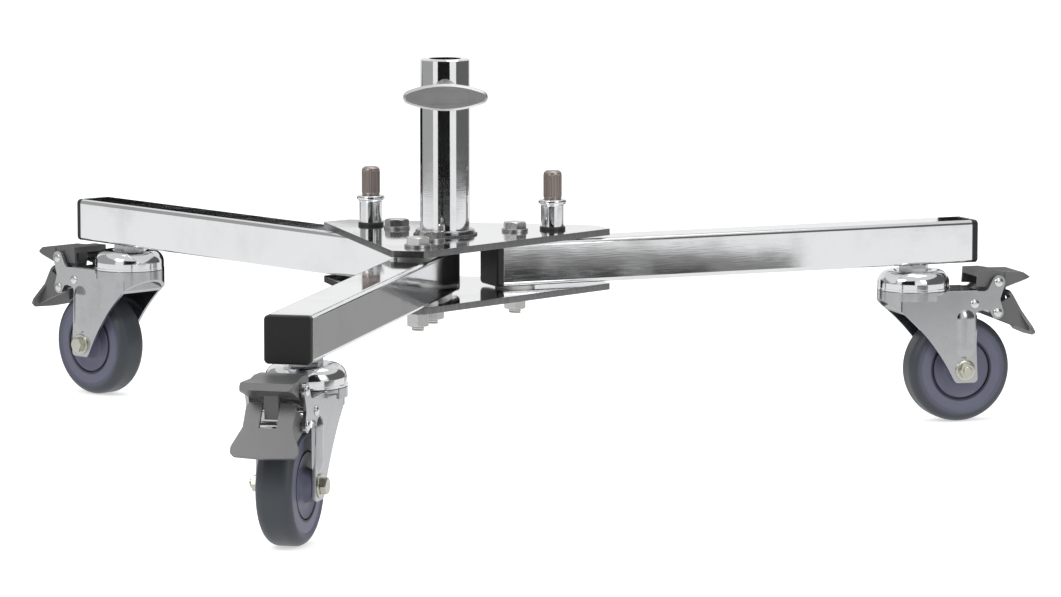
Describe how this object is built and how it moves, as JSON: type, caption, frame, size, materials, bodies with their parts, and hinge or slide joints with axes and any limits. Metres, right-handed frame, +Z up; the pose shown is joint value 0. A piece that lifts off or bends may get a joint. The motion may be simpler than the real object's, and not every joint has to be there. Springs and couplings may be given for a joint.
{
  "type": "runway base stand",
  "caption": "Low rolling base with a receiver column with clamp screw, a fixed leg and folding legs of square tube, spring lock plungers and braked swivel casters.",
  "frame": {"origin": "on the column's axis at floor level", "axes": "+Z up along the column; the fixed leg points along -Y, the folding legs to +X and -X behind it"},
  "size_m": [0.9885, 0.9677, 0.357],
  "materials": {
    "tube_chrome": "mirror chrome",
    "plate_chrome": "mirror chrome",
    "screw_steel": "cast and plated, slightly rough",
    "fastener_zinc": "bright zinc",
    "disc_plastic": "natural slip plastic",
    "cap_black": "moulded, slight sheen",
    "ring_black": "moulded",
    "pin_steel": "turned",
    "knob_bronze": "bronze-brown, satin",
    "spring_steel": "spring wire",
    "fork_zinc": "satin zinc",
    "race_steel": "polished ball",
    "axle_zinc": "slightly yellow zinc",
    "wheel_grey": "moulded, purple-grey",
    "tread_grey": "moulded elastomer",
    "pedal_grey": "moulded, fine grain"
  },
  "bodies": {
    "hub": {"top_plate": "plate_chrome", "bottom_plate": "plate_chrome", "column_tube": "tube_chrome", "column_collar": "tube_chrome", "hub_bolts": "fastener_zinc", "hub_nuts": "fastener_zinc", "hub_washers": "fastener_zinc", "slip_discs": "disc_plastic", "front_leg_tube": "tube_chrome", "front_end_caps": "cap_black", "plunger_sleeves": "plate_chrome", "plunger_base_rings": "ring_black", "left_plunger_spring": "spring_steel", "right_plunger_spring": "spring_steel", "front_stem_nut": "fastener_zinc", "front_stem": "fastener_zinc", "front_head": "fork_zinc", "front_balls": "race_steel"},
    "clamp": {"clamp_screw": "screw_steel", "clamp_handle": "screw_steel"},
    "left_lock": {"left_plunger_pin": "pin_steel", "left_plunger_knob": "knob_bronze"},
    "left_leg": {"left_leg_tube": "tube_chrome", "left_end_caps": "cap_black", "left_stem_nut": "fastener_zinc", "left_stem": "fastener_zinc", "left_head": "fork_zinc", "left_balls": "race_steel"},
    "right_lock": {"right_plunger_pin": "pin_steel", "right_plunger_knob": "knob_bronze"},
    "right_leg": {"right_leg_tube": "tube_chrome", "right_end_caps": "cap_black", "right_stem_nut": "fastener_zinc", "right_stem": "fastener_zinc", "right_head": "fork_zinc", "right_balls": "race_steel"},
    "front_swivel": {"front_fork": "fork_zinc", "front_axle": "axle_zinc", "front_brake_pins": "axle_zinc"},
    "front_wheel": {"front_wheel_core": "wheel_grey", "front_tyre": "tread_grey"},
    "front_brake": {"front_pedal": "pedal_grey"},
    "front_brake_off": {"front_release": "pedal_grey"},
    "front_brake_shoe": {"front_brake_leaf": "pin_steel"},
    "left_swivel": {"left_fork": "fork_zinc", "left_axle": "axle_zinc", "left_brake_pins": "axle_zinc"},
    "left_wheel": {"left_wheel_core": "wheel_grey", "left_tyre": "tread_grey"},
    "left_brake": {"left_pedal": "pedal_grey"},
    "left_brake_off": {"left_release": "pedal_grey"},
    "left_brake_shoe": {"left_brake_leaf": "pin_steel"},
    "right_swivel": {"right_fork": "fork_zinc", "right_axle": "axle_zinc", "right_brake_pins": "axle_zinc"},
    "right_wheel": {"right_wheel_core": "wheel_grey", "right_tyre": "tread_grey"},
    "right_brake": {"right_pedal": "pedal_grey"},
    "right_brake_off": {"right_release": "pedal_grey"},
    "right_brake_shoe": {"right_brake_leaf": "pin_steel"}
  },
  "joints": [
    {"name": "clamp_turn", "type": "hinge", "parent": "hub", "child": "clamp", "pos_m": [0, 0, 0.326], "axis": [0.2419, -0.9703, 0], "range_deg": [-60, 300]},
    {"name": "left_lock_slide", "type": "slide", "parent": "hub", "child": "left_lock", "axis": [0, 0, -1], "range_m": [0, 0.008], "deforming": ["left_plunger_spring"]},
    {"name": "left_leg_fold", "type": "hinge", "parent": "hub", "child": "left_leg", "pos_m": [-0.05506, 0.04075, 0.17], "axis": [0, 0, 1], "range_deg": [0, 122]},
    {"name": "right_lock_slide", "type": "slide", "parent": "hub", "child": "right_lock", "axis": [0, 0, -1], "range_m": [0, 0.008], "deforming": ["right_plunger_spring"]},
    {"name": "right_leg_fold", "type": "hinge", "parent": "hub", "child": "right_leg", "pos_m": [0.05506, 0.04075, 0.17], "axis": [0, 0, -1], "range_deg": [0, 122]},
    {"name": "front_swivel_turn", "type": "hinge", "parent": "hub", "child": "front_swivel", "pos_m": [0, -0.487, 0.13], "axis": [0, 0, 1], "continuous": true},
    {"name": "front_wheel_roll", "type": "hinge", "parent": "front_swivel", "child": "front_wheel", "pos_m": [-0.00225, -0.52994, 0.05], "axis": [0.9986, -0.0523, 0], "continuous": true},
    {"name": "front_brake_press", "type": "hinge", "parent": "front_swivel", "child": "front_brake", "pos_m": [-0.00398, -0.5629, 0.132], "axis": [0.9986, -0.0523, 0], "range_deg": [0, 8]},
    {"name": "front_brake_off_press", "type": "hinge", "parent": "front_swivel", "child": "front_brake_off", "pos_m": [-0.00392, -0.5619, 0.1035], "axis": [-0.9986, 0.0523, 0], "range_deg": [0, 4]},
    {"name": "front_shoe_press", "type": "hinge", "parent": "front_swivel", "child": "front_brake_shoe", "pos_m": [-0.00272, -0.53893, 0.1125], "axis": [-0.9986, 0.0523, 0], "range_deg": [0, 4.8]},
    {"name": "left_swivel_turn", "type": "hinge", "parent": "left_leg", "child": "left_swivel", "pos_m": [-0.38344, 0.28373, 0.13], "axis": [0, 0, 1], "continuous": true},
    {"name": "left_wheel_roll", "type": "hinge", "parent": "left_swivel", "child": "left_wheel", "pos_m": [-0.4201, 0.3062, 0.05], "axis": [-0.5225, -0.8526, 0], "continuous": true},
    {"name": "left_brake_press", "type": "hinge", "parent": "left_swivel", "child": "left_brake", "pos_m": [-0.44824, 0.32344, 0.132], "axis": [-0.5225, -0.8526, 0], "range_deg": [0, 8]},
    {"name": "left_brake_off_press", "type": "hinge", "parent": "left_swivel", "child": "left_brake_off", "pos_m": [-0.44739, 0.32292, 0.1035], "axis": [0.5225, 0.8526, 0], "range_deg": [0, 4]},
    {"name": "left_shoe_press", "type": "hinge", "parent": "left_swivel", "child": "left_brake_shoe", "pos_m": [-0.42778, 0.3109, 0.1125], "axis": [0.5225, 0.8526, 0], "range_deg": [0, 4.8]},
    {"name": "right_swivel_turn", "type": "hinge", "parent": "right_leg", "child": "right_swivel", "pos_m": [0.38344, 0.28373, 0.13], "axis": [0, 0, 1], "continuous": true},
    {"name": "right_wheel_roll", "type": "hinge", "parent": "right_swivel", "child": "right_wheel", "pos_m": [0.42086, 0.3049, 0.05], "axis": [-0.4924, 0.8704, 0], "continuous": true},
    {"name": "right_brake_press", "type": "hinge", "parent": "right_swivel", "child": "right_brake", "pos_m": [0.44959, 0.32116, 0.132], "axis": [-0.4924, 0.8704, 0], "range_deg": [0, 8]},
    {"name": "right_brake_off_press", "type": "hinge", "parent": "right_swivel", "child": "right_brake_off", "pos_m": [0.44872, 0.32066, 0.1035], "axis": [0.4924, -0.8704, 0], "range_deg": [0, 4]},
    {"name": "right_shoe_press", "type": "hinge", "parent": "right_swivel", "child": "right_brake_shoe", "pos_m": [0.4287, 0.30934, 0.1125], "axis": [0.4924, -0.8704, 0], "range_deg": [0, 4.8]}
  ],
  "couplings": [
    {"joint": "front_brake_off_press", "follows": "front_brake_press", "ratio": 0.5},
    {"joint": "front_shoe_press", "follows": "front_brake_press", "ratio": 0.6},
    {"joint": "left_brake_off_press", "follows": "left_brake_press", "ratio": 0.5},
    {"joint": "left_shoe_press", "follows": "left_brake_press", "ratio": 0.6},
    {"joint": "right_brake_off_press", "follows": "right_brake_press", "ratio": 0.5},
    {"joint": "right_shoe_press", "follows": "right_brake_press", "ratio": 0.6}
  ]
}
